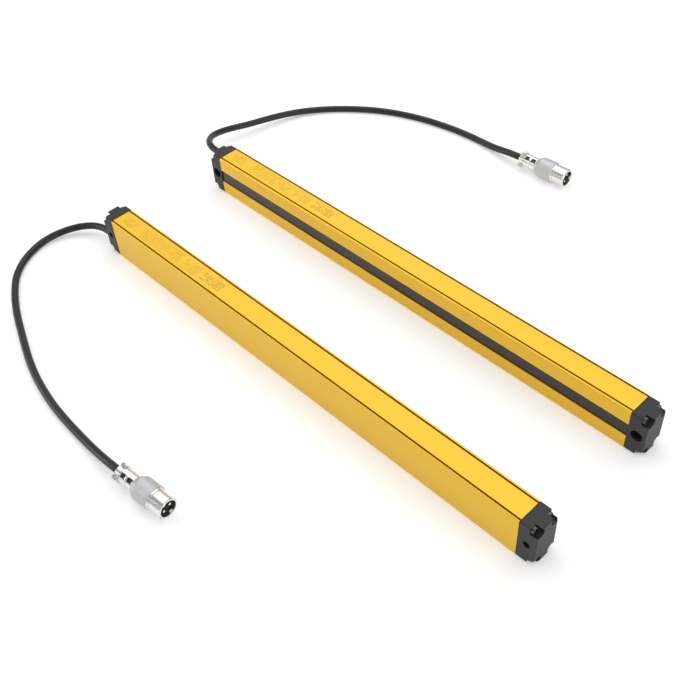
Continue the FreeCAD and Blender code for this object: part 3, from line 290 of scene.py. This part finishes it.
def rounded_loop(corners, radii, steps):
    """Closed outline with each corner replaced by an arc of its own radius.

    At a corner with unit directions back and on and half angle h between them, the arc touches
    both sides at radius / tan(h) from the corner, its centre lies on the bisector at
    radius / sin(h), and it turns by pi - 2h, towards the side that its end lies on.
    """
    corners = np.asarray(corners, float)
    radii = np.asarray(radii, float)[:, None]
    back = np.roll(corners, 1, axis=0) - corners
    on = np.roll(corners, -1, axis=0) - corners
    back /= np.linalg.norm(back, axis=1, keepdims=True)
    on /= np.linalg.norm(on, axis=1, keepdims=True)
    half = np.arccos(np.clip((back * on).sum(1), -1, 1))[:, None] / 2
    bisector = back + on
    bisector /= np.linalg.norm(bisector, axis=1, keepdims=True)
    centre = corners + bisector * radii / np.sin(half)
    begin = corners + back * radii / np.tan(half) - centre
    end = corners + on * radii / np.tan(half) - centre
    side = np.sign(begin[:, :1] * end[:, 1:] - begin[:, 1:] * end[:, :1])
    turn = (math.pi - 2 * half) * np.linspace(0, 1, steps)[None, :] * side
    x = begin[:, :1] * np.cos(turn) - begin[:, 1:] * np.sin(turn)
    y = begin[:, :1] * np.sin(turn) + begin[:, 1:] * np.cos(turn)
    return np.stack([centre[:, :1] + x, centre[:, 1:] + y], -1).reshape(-1, 2)


def extrude_along_x(section, stations):
    """Grid of the closed section (y, z) at each x station, and its faces with both ends closed."""
    x = np.repeat(np.asarray(stations)[:, None], len(section), axis=1)
    points = np.stack([x, np.broadcast_to(section[:, 0], x.shape),
                       np.broadcast_to(section[:, 1], x.shape)], -1)
    columns = len(section)
    faces = grid_faces(len(stations), columns, close_columns=True).tolist()
    faces.append(list(range(columns)))
    faces.append(list(range((len(stations) - 1) * columns, len(stations) * columns))[::-1])
    return points, faces


def outwards(piece):
    """Turn a closed mesh's faces outwards when its signed volume says they point in."""
    mesh = piece.data
    mesh.calc_loop_triangles()
    corners = np.empty(len(mesh.loop_triangles) * 3, dtype=np.int32)
    mesh.loop_triangles.foreach_get("vertices", corners)
    places = np.empty(len(mesh.vertices) * 3)
    mesh.vertices.foreach_get("co", places)
    a, b, c = places.reshape(-1, 3)[corners.reshape(-1, 3)].transpose(1, 0, 2)
    if (a * np.cross(b, c)).sum() < 0:
        mesh.flip_normals()
    return piece


def bar_frame(points, side):
    """Points of a bar's own frame, in metres, carried to where that bar lies.

    Both bars share one shape: the receiver is turned half a turn about X.
    """
    sign = 1 if side == "emitter" else -1
    low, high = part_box(f"{side}_profile")
    middle = (np.array(low) + np.array(high)) / 2
    return points * np.array([1, sign, sign]) + np.array([0, middle[1], middle[2]])


def on_plug(points, side, roll):
    """Points of a plug's own frame, in metres, rolled about X, headed about Z and moved."""
    turn = Matrix.Rotation(math.radians(PLUG_HEADING[side]), 3, "Z")
    turn @= Matrix.Rotation(math.radians(roll), 3, "X")
    return points @ np.array(turn).T + np.array(ROUTES[side][-1])


def turned(along, radius, angles):
    """Grid of a turned piece: at each angle a, radius r and place x give (x, r cos a, r sin a).

    radius is one row of radii for each angle, so flats and windows can be sunk into it.
    """
    x = np.broadcast_to(along, radius.shape)
    return np.stack([x, radius * np.cos(angles)[:, None], radius * np.sin(angles)[:, None]], -1)


def slide(value, low, high):
    """0 below low, 1 above high, and straight between."""
    return np.clip((value - low) / (high - low), 0, 1)


# ---------------------------------------------------------------- settings

class CurtainSizes(bpy.types.PropertyGroup):
    """Sizes of the pieces that this file makes, and the camera's lens."""

    cable_diameter: FloatProperty(
        name="Cable", description="Outer diameter of the cable", default=6.0 * MM,
        min=4.0 * MM, max=8.0 * MM, subtype="DISTANCE", unit="LENGTH", precision=4,
    )
    lip_round: FloatProperty(
        name="Lip rounding", description="Small rounding of the profile's lips", default=0.2 * MM,
        min=0.05 * MM, max=0.4 * MM, subtype="DISTANCE", unit="LENGTH", precision=5,
    )
    lens: FloatProperty(
        name="Lens", description="Focal length of the camera", default=52.688, min=20, max=200,
        unit="CAMERA",
    )


class CurtainColours(bpy.types.PropertyGroup):
    """Colours of the materials."""

    yellow: FloatVectorProperty(
        name="Profile", description="Dyed anodised aluminium", subtype="COLOR", size=4,
        min=0, max=1, default=srgb("#F2C222"),
    )
    window: FloatVectorProperty(
        name="Window", description="Tinted acrylic", subtype="COLOR", size=4, min=0, max=1,
        default=srgb("#1D1816"),
    )
    cap: FloatVectorProperty(
        name="Caps", description="Moulded end caps", subtype="COLOR", size=4, min=0, max=1,
        default=srgb("#272525"),
    )
    sheath: FloatVectorProperty(
        name="Cable", description="Cable sheath", subtype="COLOR", size=4, min=0, max=1,
        default=srgb("#1F1D1C"),
    )
    satin_nickel: FloatVectorProperty(
        name="Satin nickel", description="Blasted barrels of the plugs", subtype="COLOR", size=4,
        min=0, max=1, default=srgb("#C2C3C4"),
    )
    bright_nickel: FloatVectorProperty(
        name="Bright nickel", description="Polished shells of the plugs", subtype="COLOR",
        size=4, min=0, max=1, default=srgb("#E4E4E3"),
    )


def sizes():
    """The current sizes."""
    return bpy.context.scene.curtain_sizes


def colours():
    """The current colours."""
    return bpy.context.scene.curtain_colours


def finish_nodes(material, *names):
    """Give one material to the named CAD nodes of both bars."""
    for side in SIDES:
        for name in names:
            mesh = NODES[f"{side}_{name}"].data
            mesh.materials.clear()
            mesh.materials.append(material)


def plated_bright():
    """Polished nickel plate over brass: clear reflections, softened by fine polishing marks."""
    return bpy.data.materials.get("brass, nickel plated, polished") or grained(
        "brass, nickel plated, polished", tuple(colours().bright_nickel), 1.5, 0.04, 0.2, 0.28,
        edge_mm=0.15, Metallic=1.0,
    )


def phenolic_moulded():
    """Black moulded phenolic: matt, so that the pins stand out against it."""
    return bpy.data.materials.get("phenolic, moulded") or grained(
        "phenolic, moulded", srgb("#121212"), 0.4, 0.15, 0.4, 0.55, IOR=1.6
    )


# ---------------------------------------------------------------- stage

def lay_floor(scene):
    """White paper sweep: matt for the light, and lit up for whatever looks at it."""
    # A square of paper, half its side in metres.
    half = 3.0
    mesh = bpy.data.meshes.new("floor")
    mesh.from_pydata(
        [(-half, -half, 0), (half, -half, 0), (half, half, 0), (-half, half, 0)], [],
        [(0, 1, 2, 3)],
    )
    floor = bpy.data.objects.new("floor", mesh)
    scene.collection.objects.link(floor)
    paper = bpy.data.materials.new("paper sweep, white")
    paper.use_nodes = True
    tree = paper.node_tree
    tree.nodes.clear()
    # The paper glows as the camera, a mirror or clear plastic sees it, but it lights nothing.
    path = add(tree, "ShaderNodeLightPath")
    direct = add(tree, "ShaderNodeMath", {
        0: path.outputs["Is Camera Ray"], 1: path.outputs["Is Glossy Ray"],
    }, operation="MAXIMUM")
    seen = add(tree, "ShaderNodeMath", {
        0: direct.outputs[0], 1: path.outputs["Is Transmission Ray"],
    }, operation="MAXIMUM")
    matt = add(tree, "ShaderNodeBsdfDiffuse", {"Color": (0.8, 0.8, 0.8, 1)})
    # The glow grows from 0.45 m outwards, where the lamps reach less, so it stays white.
    position = add(tree, "ShaderNodeTexCoord").outputs["Object"]
    distance = add(tree, "ShaderNodeVectorMath", {0: position}, operation="LENGTH")
    level = add(tree, "ShaderNodeMapRange", {
        "Value": distance.outputs["Value"], "From Min": 0.45, "From Max": 1.5,
        "To Min": 0.305, "To Max": 1.0,
    })
    glow = add(tree, "ShaderNodeEmission", {
        "Color": (1, 1, 1, 1), "Strength": level.outputs[0],
    })
    both = add(tree, "ShaderNodeAddShader", {0: matt.outputs[0], 1: glow.outputs[0]})
    mix = add(tree, "ShaderNodeMixShader", {
        0: seen.outputs[0], 1: matt.outputs[0], 2: both.outputs[0],
    })
    add(tree, "ShaderNodeOutputMaterial", {"Surface": mix.outputs[0]})
    mesh.materials.append(paper)


def set_studio(scene):
    """Studio walls: grey light from all round, and plain white behind the object."""
    world = bpy.data.worlds.new("studio")
    scene.world = world
    world.use_nodes = True
    tree = world.node_tree
    tree.nodes.clear()
    path = add(tree, "ShaderNodeLightPath")
    # The studio is darker round one direction, up and to the front left, between two lamps.
    # Polished round pieces show it as a dark band along their length.
    sky = add(tree, "ShaderNodeTexCoord").outputs["Generated"]
    facing = add(tree, "ShaderNodeVectorMath", {
        0: sky, 1: (-0.53, -0.46, 0.71),
    }, operation="DOT_PRODUCT")
    level = add(tree, "ShaderNodeMapRange", {
        "Value": facing.outputs["Value"], "From Min": 0.8, "From Max": 0.95,
        "To Min": 0.5, "To Max": 0.3,
    })
    ambient = add(tree, "ShaderNodeBackground", {
        "Color": (1, 1, 1, 1), "Strength": level.outputs[0],
    })
    white = add(tree, "ShaderNodeBackground", {"Color": (1, 1, 1, 1), "Strength": 1.0})
    mix = add(tree, "ShaderNodeMixShader", {
        0: path.outputs["Is Camera Ray"], 1: ambient.outputs[0], 2: white.outputs[0],
    })
    add(tree, "ShaderNodeOutputWorld", {"Surface": mix.outputs[0]})


def hang_lamps(scene):
    """Three soft square lamps: a wide one overhead and a smaller one at each end."""
    # Place, side and power of each lamp, in metres and watts. All aim at the frame's origin.
    lamps = [
        ("overhead", (-0.4, 0.5, 1.6), 2.4, 23.0),
        ("left", (-1.5, -1.2, 0.65), 1.0, 11.8),
        ("right", (1.7, 0.1, 0.2), 1.0, 13.5),
    ]
    for name, place, side, power in lamps:
        data = bpy.data.lights.new(name, "AREA")
        data.shape = "SQUARE"
        data.size = side
        data.energy = power
        lamp = bpy.data.objects.new(name, data)
        back = np.array(place) / np.linalg.norm(place)
        across = np.cross((0, 1, 0), back)
        across /= np.linalg.norm(across)
        turn = np.eye(4)
        turn[:3, :3] = np.stack([across, np.cross(back, across), back], axis=1)
        turn[:3, 3] = place
        lamp.matrix_world = Matrix(turn.tolist())
        scene.collection.objects.link(lamp)


# ---------------------------------------------------------------- operators

class CURTAIN_OT_camera(bpy.types.Operator):
    """Set the camera above the near end of the bars"""
    bl_idname = "curtain.camera"
    bl_label = "Camera"

    def execute(self, context):
        # Azimuth and elevation of the way back from the object, and roll about the view axis.
        azimuth, elevation, roll = 0.854452, 0.798526, -0.079747
        back = np.array([math.sin(azimuth) * math.cos(elevation),
                         -math.cos(azimuth) * math.cos(elevation), math.sin(elevation)])
        right = np.array([math.cos(azimuth), math.sin(azimuth), 0.0])
        up = np.cross(back, right)
        across = math.cos(roll) * right + math.sin(roll) * up
        upright = -math.sin(roll) * right + math.cos(roll) * up
        data = bpy.data.cameras.new("camera")
        data.lens = sizes().lens
        data.sensor_width = 36
        data.clip_start, data.clip_end = 0.01, 20
        camera = bpy.data.objects.new("camera", data)
        place = np.eye(4)
        place[:3, :3] = np.stack([across, upright, back], axis=1)
        place[:3, 3] = (0.398976, -0.361647, 0.546427)  # metres
        camera.matrix_world = Matrix(place.tolist())
        context.scene.collection.objects.link(camera)
        context.scene.camera = camera
        return {"FINISHED"}


class CURTAIN_OT_sleeves(bpy.types.Operator):
    """Turn the rear sleeves of both plugs, with their ring and sunk windows"""
    bl_idname = "curtain.sleeves"
    bl_label = "Plug sleeves"

    def execute(self, context):
        # The sleeve, in mm: a tube whose outline runs out along the outside, over the raised
        # ring, and back through the bore. Windows are sunk into it on two opposite sides, in two
        # stretches along it. At their edges stand two close rows of points, so the walls are
        # steep. The roll turns one side's windows up and towards the front.
        depth, half_window, roll = 1.2, 17.0, 30.0
        outside = np.array([
            (4.3, 5.8), (4.5, 6.0), (5.35, 6.0), (5.4, 6.0), (9.45, 6.0), (9.5, 6.0), (10.0, 6.0),
            (10.1, 6.25), (10.3, 6.3), (11.1, 6.3), (11.3, 6.25), (11.4, 6.0), (11.9, 6.0),
            (11.95, 6.0), (16.2, 6.0), (16.25, 6.0), (22.0, 6.0),
        ])
        bore = np.array([(22.0, 4.72), (4.3, 4.72)])
        outline = np.concatenate([outside, bore])
        angles = np.radians(np.concatenate([
            np.arange(0, 73, 4), (72.8, 73.2), np.arange(74, 107, 4), (106.8, 107.2),
            np.arange(108, 180, 4),
        ]))
        angles = np.sort(np.concatenate([angles, angles + math.pi]))
        from_window = np.abs(np.degrees(angles) % 180 - 90)
        x = outline[:, 0]
        in_length = slide(x, 5.36, 5.39) * slide(-x, -9.49, -9.46)
        in_length += slide(x, 11.91, 11.94) * slide(-x, -16.24, -16.21)
        in_length[len(outside):] = 0
        in_window = slide(-from_window, -half_window - 0.1, -half_window + 0.1)
        sunk = depth * in_window[:, None] * in_length
        grid = turned(x, outline[:, 1] - sunk, angles) * MM
        faces = grid_faces(len(angles), len(outline), True, True)
        # The floors of the windows are black: the dark cable sheath within, and painted shade in
        # the windows' depth.
        dark = (sunk.ravel()[faces] > 0.9 * depth).all(axis=1)
        for side in SIDES:
            piece = make_piece(
                f"{side}_sleeve", on_plug(grid, side, roll), faces.tolist(),
                [plated_bright(), phenolic_moulded()], 30, dark,
            )
            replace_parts(outwards(piece), f"{side}_plug_sleeve")
        return {"FINISHED"}


class CURTAIN_OT_cables(bpy.types.Operator):
    """Lay both cables as smooth curves from their caps to their plugs"""
    bl_idname = "curtain.cables"
    bl_label = "Cables"

    def execute(self, context):
        # An extruded sheath is nearly black and half matt, with one soft line of light along it.
        material = grained(
            "PVC sheath, extruded", tuple(colours().sheath), 0.9, 0.12, 0.3, 0.45, IOR=1.53,
            Specular_IOR_Level=0.32,
        )
        for side in SIDES:
            curve = bpy.data.curves.new(f"{side}_cable_line", "CURVE")
            curve.dimensions = "3D"
            curve.bevel_depth = sizes().cable_diameter / 2
            curve.bevel_resolution = 8
            curve.resolution_u = 12
            curve.use_fill_caps = True
            spline = curve.splines.new("NURBS")
            route = ROUTES[side]
            spline.points.add(len(route) - 1)
            spline.points.foreach_set("co", np.array([(*point, 1) for point in route]).ravel())
            spline.order_u = 3
            spline.use_endpoint_u = True
            curve.materials.append(material)
            cable = bpy.data.objects.new(f"{side}_cable_sheath", curve)
            context.scene.collection.objects.link(cable)
            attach(cable, "root")
            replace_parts(cable, f"{side}_cable")
        finish_nodes(material, "cable_entry", "plug_sheath")
        return {"FINISHED"}


class CURTAIN_OT_profiles(bpy.types.Operator):
    """Make both extruded housings with fine rounded lips and clip grooves"""
    bl_idname = "curtain.profiles"
    bl_label = "Profiles"

    def execute(self, context):
        yellow = satin_yellow_anodised(tuple(colours().yellow))
        shaded = painted_groove_shade()
        # The section in mm: half width and half height, wall, groove depth and half its width,
        # half the window's opening, and where the front and rear grooves lie.
        wide, high, wall, deep, half = 10.5, 18.25, 1.8, 1.6, 0.5
        lip, inner_y, inner_z = 5.85, wide - wall, high - wall
        front, rear = wide - 2.3, 1.4 - wide
        fine, root = sizes().lip_round / MM, 0.08
        # Upper half of the outline, from the window's upper lip over the top to the back. Each
        # corner has its place across the bar, its height and its rounding.
        upper = [
            (wide, lip, fine), (wide, high, 1.2),
            (front + half, high, fine), (front + half, high - deep, root),
            (front - half, high - deep, root), (front - half, high, fine),
            (rear + half, high, fine), (rear + half, high - deep, root),
            (rear - half, high - deep, root), (rear - half, high, fine),
            (-wide, high, 0.6),
        ]
        lower = [(y, -z, r) for y, z, r in upper[::-1]]
        inside = [
            (inner_y, -lip, 0.1), (inner_y, -inner_z, 0.3), (-inner_y, -inner_z, 0.3),
            (-inner_y, inner_z, 0.3), (inner_y, inner_z, 0.3), (inner_y, lip, 0.1),
        ]
        outline = np.array(upper + lower + inside)
        steps = 7
        section = rounded_loop(outline[:, :2], outline[:, 2], steps) * MM
        # Faces below the outer skin take the painted groove shade: four grooves, each of four
        # corners from the one given, and everything from the opening's lower lip round the inside
        # to its upper lip.
        in_painted_shade = np.zeros(len(section), dtype=bool)
        for first in (2, 6, 12, 16):
            in_painted_shade[first * steps:(first + 4) * steps - 1] = True
        in_painted_shade[(len(upper) + len(lower) - 1) * steps:] = True
        for side in SIDES:
            low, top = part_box(f"{side}_profile")
            points, faces = extrude_along_x(section, np.linspace(low[0], top[0], 9))
            # The two end faces, under the caps, take the painted groove shade too.
            which = np.concatenate([np.tile(in_painted_shade, len(points) - 1), [1, 1]])
            piece = make_piece(
                f"{side}_housing", bar_frame(points, side), faces, [yellow, shaded],
                40, which,
            )
            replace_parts(outwards(piece), f"{side}_profile")
        return {"FINISHED"}


class CURTAIN_OT_windows(bpy.types.Operator):
    """Give the windows their tinted acrylic"""
    bl_idname = "curtain.windows"
    bl_label = "Windows"

    def execute(self, context):
        # Tinted through and flat, it looks like a dark grey mirror without depth.
        acrylic = grained(
            "acrylic, tinted, cast", tuple(colours().window), 6.0, 0.01, 0.1, 0.16, IOR=1.49,
            Specular_IOR_Level=0.4,
        )
        finish_nodes(acrylic, "window")
        return {"FINISHED"}


class CURTAIN_OT_caps(bpy.types.Operator):
    """Give the end caps their fine grained moulded plastic"""
    bl_idname = "curtain.caps"
    bl_label = "End caps"

    def execute(self, context):
        # Glass fibre and an eroded mould leave a fine dull grain and softly rounded edges.
        plastic = grained(
            "polyamide, glass filled, moulded", tuple(colours().cap), 0.35, 0.25, 0.48, 0.62,
            edge_mm=0.3, IOR=1.53, Specular_IOR_Level=0.42,
        )
        finish_nodes(plastic, "blind_cap", "cable_cap")
        return {"FINISHED"}


class CURTAIN_OT_seals(bpy.types.Operator):
    """Give the gaskets, grommets and window seals their rubber"""
    bl_idname = "curtain.seals"
    bl_label = "Seals"

    def execute(self, context):
        # Soft rubber is black and matt, and shows only as thin dark lines between the pieces.
        rubber = grained(
            "nitrile rubber, moulded", srgb("#201F1E"), 0.3, 0.2, 0.6, 0.75, IOR=1.52
        )
        finish_nodes(rubber, "blind_gasket", "cable_gasket", "window_seals", "grommet")
        return {"FINISHED"}


class CURTAIN_OT_plugs(bpy.types.Operator):
    """Give the plugs' shells, insulators and pins their plating and moulding"""
    bl_idname = "curtain.plugs"
    bl_label = "Plugs"

    def execute(self, context):
        # Blasting under the plate spreads every reflection, so the barrels look an even pale grey.
        satin = grained(
            "brass, nickel plated, blasted", tuple(colours().satin_nickel), 0.25, 0.22, 0.5, 0.62,
            edge_mm=0.2, Metallic=1.0,
        )
        # Silver is the brightest metal here: the pins glint white in the dark mouths.
        silver = grained(
            "copper pin, silver plated", srgb("#E6E2DA"), 0.5, 0.05, 0.15, 0.25, Metallic=1.0
        )
        finish_nodes(plated_bright(), "plug_clamp", "plug_nose", "plug_clamp_screws")
        finish_nodes(satin, "plug_barrel")
        finish_nodes(phenolic_moulded(), "plug_insulator")
        finish_nodes(silver, "plug_pins")
        return {"FINISHED"}


class CURTAIN_OT_screws(bpy.types.Operator):
    """Give the cap screws their zinc plate, darkened as painted shade of their pockets"""
    bl_idname = "curtain.screws"
    bl_label = "Cap screws"

    def execute(self, context):
        # Zinc plate in a dull mid grey, darkened as painted shade deep in their pockets: the heads
        # show only weak glints.
        steel = grained(
            "steel, zinc plated, painted pocket shade", srgb("#5C5D5F"), 0.5, 0.1, 0.34, 0.48, Metallic=1.0
        )
        finish_nodes(steel, "cap_screws")
        return {"FINISHED"}


class CURTAIN_OT_electronics(bpy.types.Operator):
    """Give the pieces inside the bars their materials"""
    bl_idname = "curtain.electronics"
    bl_label = "Electronics"

    def execute(self, context):
        # Each is a plain half matt plastic in its usual colour. Only the lenses let light through.
        finish_nodes(grained(
            "ABS, moulded black", srgb("#1B1B1C"), 0.5, 0.15, 0.5, 0.6, IOR=1.54
        ), "lens_holder")
        finish_nodes(grained(
            "acrylic, clear moulded", srgb("#C9CED2"), 3.0, 0.01, 0.05, 0.08, IOR=1.49,
            Transmission_Weight=0.9,
        ), "lenses")
        finish_nodes(grained(
            "glass epoxy laminate, green coated", srgb("#1E5B38"), 0.6, 0.1, 0.3, 0.4, IOR=1.55
        ), "circuit_board")
        finish_nodes(grained(
            "epoxy package, moulded", srgb("#232325"), 0.3, 0.1, 0.5, 0.6, IOR=1.55
        ), "control_chips")
        finish_nodes(grained(
            "nylon, natural, moulded", srgb("#E3DFD4"), 0.5, 0.1, 0.4, 0.5, IOR=1.53
        ), "wire_header")
        finish_nodes(grained(
            "PVC insulation, blue", srgb("#2D5D9C"), 0.8, 0.05, 0.3, 0.4, IOR=1.53
        ), "inner_wires", "plug_wires")
        # Clear to infrared only, it looks a glossy dark violet.
        tinted = grained(
            "epoxy, infrared clear", srgb("#47384F"), 2.0, 0.01, 0.08, 0.12, IOR=1.55
        )
        for node in ("emitter_leds", "receiver_photodiodes"):
            NODES[node].data.materials.clear()
            NODES[node].data.materials.append(tinted)
        return {"FINISHED"}


class CURTAIN_OT_stage(bpy.types.Operator):
    """Lay the white floor and set the soft lamps and the studio round them"""
    bl_idname = "curtain.stage"
    bl_label = "Stage"

    def execute(self, context):
        lay_floor(context.scene)
        set_studio(context.scene)
        hang_lamps(context.scene)
        context.scene.view_settings.view_transform = "Standard"
        return {"FINISHED"}


OPERATORS = [
    CURTAIN_OT_camera, CURTAIN_OT_sleeves, CURTAIN_OT_cables, CURTAIN_OT_profiles,
    CURTAIN_OT_windows, CURTAIN_OT_caps, CURTAIN_OT_seals, CURTAIN_OT_plugs,
    CURTAIN_OT_screws, CURTAIN_OT_electronics, CURTAIN_OT_stage,
]


class CURTAIN_PT_panel(bpy.types.Panel):
    """Lists the settings and the steps in order"""
    bl_idname = "CURTAIN_PT_panel"
    bl_label = "Light curtain"
    bl_space_type = "VIEW_3D"
    bl_region_type = "UI"
    bl_category = "Light curtain"

    def draw(self, context):
        column = self.layout.column()
        for group in (context.scene.curtain_sizes, context.scene.curtain_colours):
            for name in group.bl_rna.properties.keys():
                if name not in ("rna_type", "name"):
                    column.prop(group, name)
        for operator in OPERATORS:
            column.operator(operator.bl_idname)


CLASSES = [CurtainSizes, CurtainColours, *OPERATORS, CURTAIN_PT_panel]


def register():
    for cls in CLASSES:
        bpy.utils.register_class(cls)
    bpy.types.Scene.curtain_sizes = PointerProperty(type=CurtainSizes)
    bpy.types.Scene.curtain_colours = PointerProperty(type=CurtainColours)


def unregister():
    del bpy.types.Scene.curtain_colours
    del bpy.types.Scene.curtain_sizes
    for cls in reversed(CLASSES):
        bpy.utils.unregister_class(cls)


def main():
    """Build the whole scene in order."""
    register()
    for operator in OPERATORS:
        group, name = operator.bl_idname.split(".")
        getattr(getattr(bpy.ops, group), name)()


if __name__ == "__main__":
    main()
